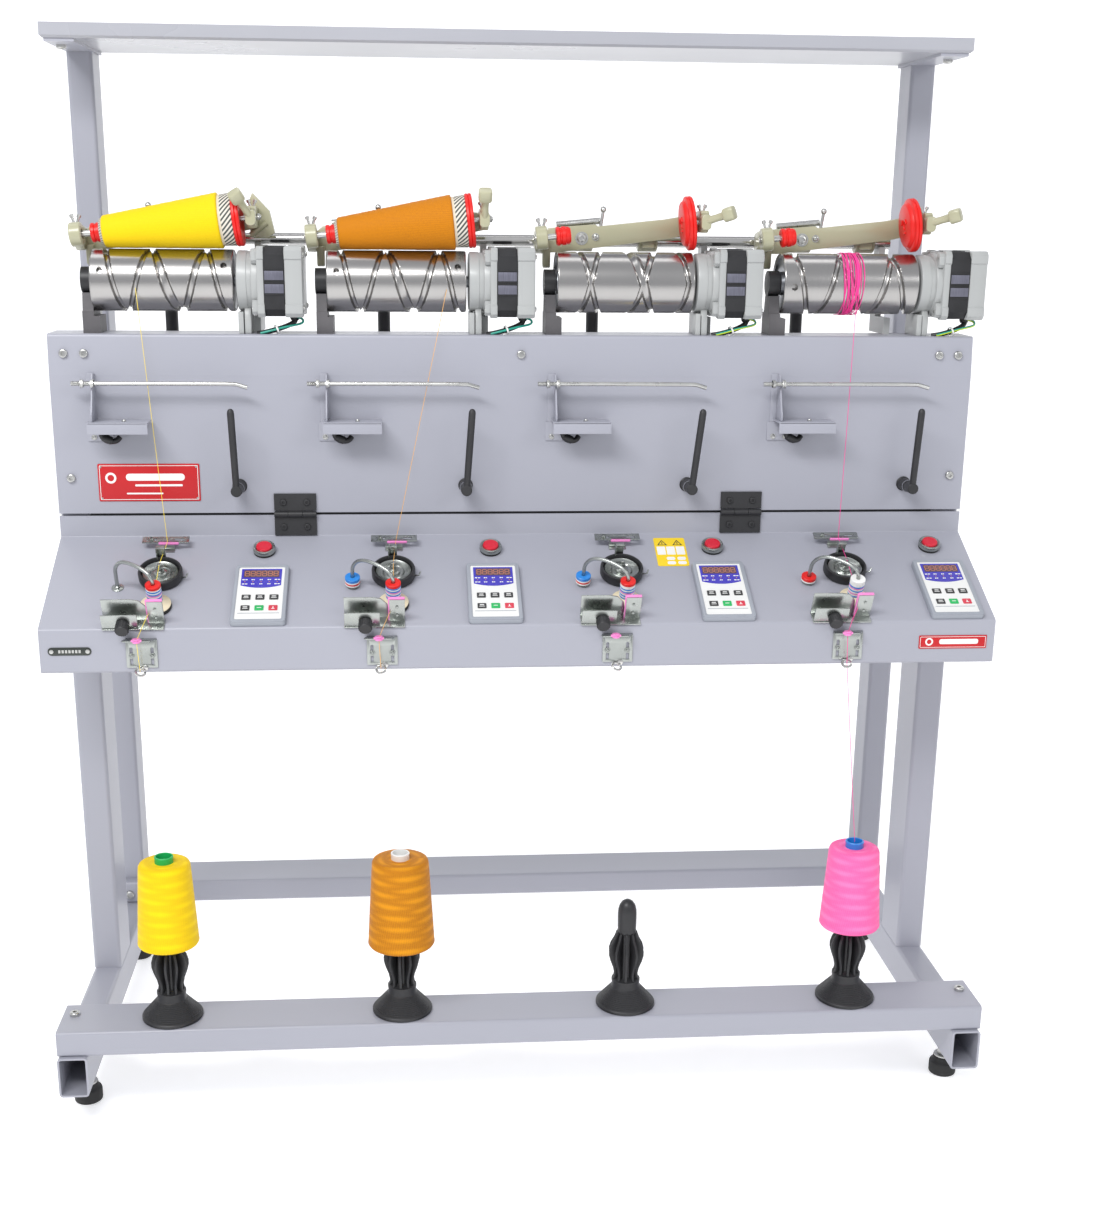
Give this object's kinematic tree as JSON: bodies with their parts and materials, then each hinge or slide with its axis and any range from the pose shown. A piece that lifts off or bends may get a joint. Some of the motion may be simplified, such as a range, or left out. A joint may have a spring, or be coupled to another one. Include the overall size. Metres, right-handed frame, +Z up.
{
  "type": "thread cone winding machine",
  "caption": "Floor-standing machine that winds thread from supply cones onto take-up cones, with grooved drums, tilting cradles, a hinged control console and an overhead shelf.",
  "frame": {"origin": "centre of the bounding box footprint, on the floor under the levelling pads", "axes": "+X to the operator's right along the row of heads, +Y towards the back, +Z up"},
  "size_m": [1.1932, 0.5485, 1.3431],
  "materials": {
    "frame_paint": "satin powder coat",
    "shelf_laminate": "satin laminate",
    "zinc": "bright zinc plate",
    "drum_steel": "ground and polished",
    "black_plastic": "matte",
    "dark_casting": "painted casting",
    "motor_paint": "light grey paint",
    "beige_paint": "semi-gloss enamel",
    "red_plastic": "moulded",
    "rubber_pad": "matte rubber",
    "yellow_yarn": "wound thread",
    "orange_yarn": "wound thread",
    "pink_yarn": "wound thread",
    "panel_grey": "moulded",
    "cable_sheath": "matte"
  },
  "bodies": {
    "root": {"foot_tubes": "frame_paint", "front_posts": "frame_paint", "rear_posts": "frame_paint", "cross_beams": "frame_paint", "shelf_board": "shelf_laminate", "frame_screws": "zinc", "hood_panel": "frame_paint", "hood_hinge_leaves": "dark_casting", "service_tray": "frame_paint", "motor_drivers": "black_plastic", "drum_brackets": "dark_casting", "bearing_hubs": "black_plastic", "motors": "motor_paint", "motor_cables": "cable_sheath", "cradle_shaft": "zinc", "shaft_supports": "motor_paint", "lift_stops": "dark_casting", "guide_brackets": "frame_paint", "guide_rods": "zinc", "thread_sensors": "black_plastic", "spool_stands": "black_plastic"},
    "console_lid": {"console_lid": "frame_paint", "lid_hinge_leaves": "dark_casting", "control_panels": "panel_grey", "button_bezels": "zinc", "thread_tensioners": "zinc", "thread_brackets": "zinc"},
    "drum_1": {"drum_1": "drum_steel"},
    "cradle_1": {"cradle_1": "beige_paint"},
    "chuck_1": {"chucks_1": "red_plastic", "wound_cone_1": "yellow_yarn"},
    "handle_1": {"handle_1": "beige_paint"},
    "button_1": {"button_1": "red_plastic"},
    "lever_1": {"lever_1": "black_plastic"},
    "foot_1": {"foot_1": "rubber_pad"},
    "drum_2": {"drum_2": "drum_steel"},
    "cradle_2": {"cradle_2": "beige_paint"},
    "chuck_2": {"chucks_2": "red_plastic", "wound_cone_2": "orange_yarn"},
    "handle_2": {"handle_2": "beige_paint"},
    "button_2": {"button_2": "red_plastic"},
    "lever_2": {"lever_2": "black_plastic"},
    "foot_2": {"foot_2": "rubber_pad"},
    "drum_3": {"drum_3": "drum_steel"},
    "cradle_3": {"cradle_3": "beige_paint"},
    "chuck_3": {"chucks_3": "red_plastic"},
    "handle_3": {"handle_3": "beige_paint"},
    "button_3": {"button_3": "red_plastic"},
    "lever_3": {"lever_3": "black_plastic"},
    "foot_3": {"foot_3": "rubber_pad"},
    "drum_4": {"drum_4": "drum_steel"},
    "cradle_4": {"cradle_4": "beige_paint"},
    "chuck_4": {"chucks_4": "red_plastic"},
    "handle_4": {"handle_4": "beige_paint"},
    "button_4": {"button_4": "red_plastic"},
    "lever_4": {"lever_4": "black_plastic"},
    "foot_4": {"foot_4": "rubber_pad"},
    "supply_cone_1": {"supply_cone_1": "yellow_yarn"},
    "supply_cone_2": {"supply_cone_2": "orange_yarn"},
    "supply_cone_4": {"supply_cone_4": "pink_yarn"}
  },
  "joints": [
    {"name": "lid_hinge", "type": "hinge", "parent": "root", "child": "console_lid", "pos_m": [0, -0.0355, 0.7436], "axis": [-1, 0, 0], "range_deg": [0, 55]},
    {"name": "drum_spin_1", "type": "hinge", "parent": "root", "child": "drum_1", "pos_m": [-0.445, 0.004, 1.0353], "axis": [1, 0, 0], "continuous": true},
    {"name": "cradle_lift_1", "type": "hinge", "parent": "root", "child": "cradle_1", "pos_m": [-0.435, 0.064, 1.0855], "axis": [-1, 0, 0], "range_deg": [0, 40]},
    {"name": "cone_spin_1", "type": "hinge", "parent": "cradle_1", "child": "chuck_1", "pos_m": [-0.44041, 0.004, 1.10129], "axis": [0.9949, 0, 0.1011], "continuous": true},
    {"name": "handle_swing_1", "type": "hinge", "parent": "cradle_1", "child": "handle_1", "pos_m": [-0.3345, -0.016, 1.11299], "axis": [0, -1, 0], "range_deg": [-102, 0]},
    {"name": "button_press_1", "type": "slide", "parent": "console_lid", "child": "button_1", "axis": [0, 0.4418, -0.8971], "range_m": [0, 0.004], "stiffness_N_per_m": 300},
    {"name": "lever_swing_1", "type": "hinge", "parent": "root", "child": "lever_1", "pos_m": [-0.36, -0.061, 0.78], "axis": [0, 1, 0], "range_deg": [-20, 20]},
    {"name": "drum_spin_2", "type": "hinge", "parent": "root", "child": "drum_2", "pos_m": [-0.155, 0.004, 1.0353], "axis": [1, 0, 0], "continuous": true},
    {"name": "cradle_lift_2", "type": "hinge", "parent": "root", "child": "cradle_2", "pos_m": [-0.145, 0.064, 1.0855], "axis": [-1, 0, 0], "range_deg": [0, 40]},
    {"name": "cone_spin_2", "type": "hinge", "parent": "cradle_2", "child": "chuck_2", "pos_m": [-0.15041, 0.004, 1.10129], "axis": [0.9949, 0, 0.1011], "continuous": true},
    {"name": "handle_swing_2", "type": "hinge", "parent": "cradle_2", "child": "handle_2", "pos_m": [-0.0445, -0.016, 1.11299], "axis": [0, -1, 0], "range_deg": [-70, 28]},
    {"name": "button_press_2", "type": "slide", "parent": "console_lid", "child": "button_2", "axis": [0, 0.4418, -0.8971], "range_m": [0, 0.004], "stiffness_N_per_m": 300},
    {"name": "lever_swing_2", "type": "hinge", "parent": "root", "child": "lever_2", "pos_m": [-0.07, -0.061, 0.78], "axis": [0, 1, 0], "range_deg": [-20, 20]},
    {"name": "drum_spin_3", "type": "hinge", "parent": "root", "child": "drum_3", "pos_m": [0.135, 0.004, 1.0353], "axis": [1, 0, 0], "continuous": true},
    {"name": "cradle_lift_3", "type": "hinge", "parent": "root", "child": "cradle_3", "pos_m": [0.145, 0.064, 1.0855], "axis": [-1, 0, 0], "range_deg": [0, 40]},
    {"name": "cone_spin_3", "type": "hinge", "parent": "cradle_3", "child": "chuck_3", "pos_m": [0.13959, 0.004, 1.10129], "axis": [0.9949, 0, 0.1011], "continuous": true},
    {"name": "handle_swing_3", "type": "hinge", "parent": "cradle_3", "child": "handle_3", "pos_m": [0.2355, -0.016, 1.11198], "axis": [0, -1, 0], "range_deg": [0, 98]},
    {"name": "button_press_3", "type": "slide", "parent": "console_lid", "child": "button_3", "axis": [0, 0.4418, -0.8971], "range_m": [0, 0.004], "stiffness_N_per_m": 300},
    {"name": "lever_swing_3", "type": "hinge", "parent": "root", "child": "lever_3", "pos_m": [0.22, -0.061, 0.78], "axis": [0, 1, 0], "range_deg": [-20, 20]},
    {"name": "drum_spin_4", "type": "hinge", "parent": "root", "child": "drum_4", "pos_m": [0.425, 0.004, 1.0353], "axis": [1, 0, 0], "continuous": true},
    {"name": "cradle_lift_4", "type": "hinge", "parent": "root", "child": "cradle_4", "pos_m": [0.435, 0.064, 1.0855], "axis": [-1, 0, 0], "range_deg": [0, 40]},
    {"name": "cone_spin_4", "type": "hinge", "parent": "cradle_4", "child": "chuck_4", "pos_m": [0.42959, 0.004, 1.10129], "axis": [0.9949, 0, 0.1011], "continuous": true},
    {"name": "handle_swing_4", "type": "hinge", "parent": "cradle_4", "child": "handle_4", "pos_m": [0.5255, -0.016, 1.11198], "axis": [0, -1, 0], "range_deg": [0, 98]},
    {"name": "button_press_4", "type": "slide", "parent": "console_lid", "child": "button_4", "axis": [0, 0.4418, -0.8971], "range_m": [0, 0.004], "stiffness_N_per_m": 300},
    {"name": "lever_swing_4", "type": "hinge", "parent": "root", "child": "lever_4", "pos_m": [0.51, -0.061, 0.78], "axis": [0, 1, 0], "range_deg": [-20, 20]},
    {"name": "foot_turn_1", "type": "hinge", "parent": "root", "child": "foot_1", "pos_m": [-0.5715, -0.196, 0.02], "axis": [0, 0, 1], "continuous": true},
    {"name": "foot_turn_2", "type": "hinge", "parent": "root", "child": "foot_2", "pos_m": [0.5715, -0.196, 0.02], "axis": [0, 0, 1], "continuous": true},
    {"name": "foot_turn_3", "type": "hinge", "parent": "root", "child": "foot_3", "pos_m": [-0.5715, 0.224, 0.02], "axis": [0, 0, 1], "continuous": true},
    {"name": "foot_turn_4", "type": "hinge", "parent": "root", "child": "foot_4", "pos_m": [0.5715, 0.224, 0.02], "axis": [0, 0, 1], "continuous": true},
    {"name": "supply_lift_1", "type": "slide", "parent": "root", "child": "supply_cone_1", "axis": [0, 0, 1], "range_m": [0, 0.12]},
    {"name": "supply_lift_2", "type": "slide", "parent": "root", "child": "supply_cone_2", "axis": [0, 0, 1], "range_m": [0, 0.12]},
    {"name": "supply_lift_4", "type": "slide", "parent": "root", "child": "supply_cone_4", "axis": [0, 0, 1], "range_m": [0, 0.12]}
  ],
  "couplings": [
    {"joint": "cone_spin_1", "follows": "drum_spin_1", "ratio": -1.4},
    {"joint": "cone_spin_2", "follows": "drum_spin_2", "ratio": -1.4},
    {"joint": "cone_spin_3", "follows": "drum_spin_3", "ratio": -1.4},
    {"joint": "cone_spin_4", "follows": "drum_spin_4", "ratio": -1.4}
  ]
}
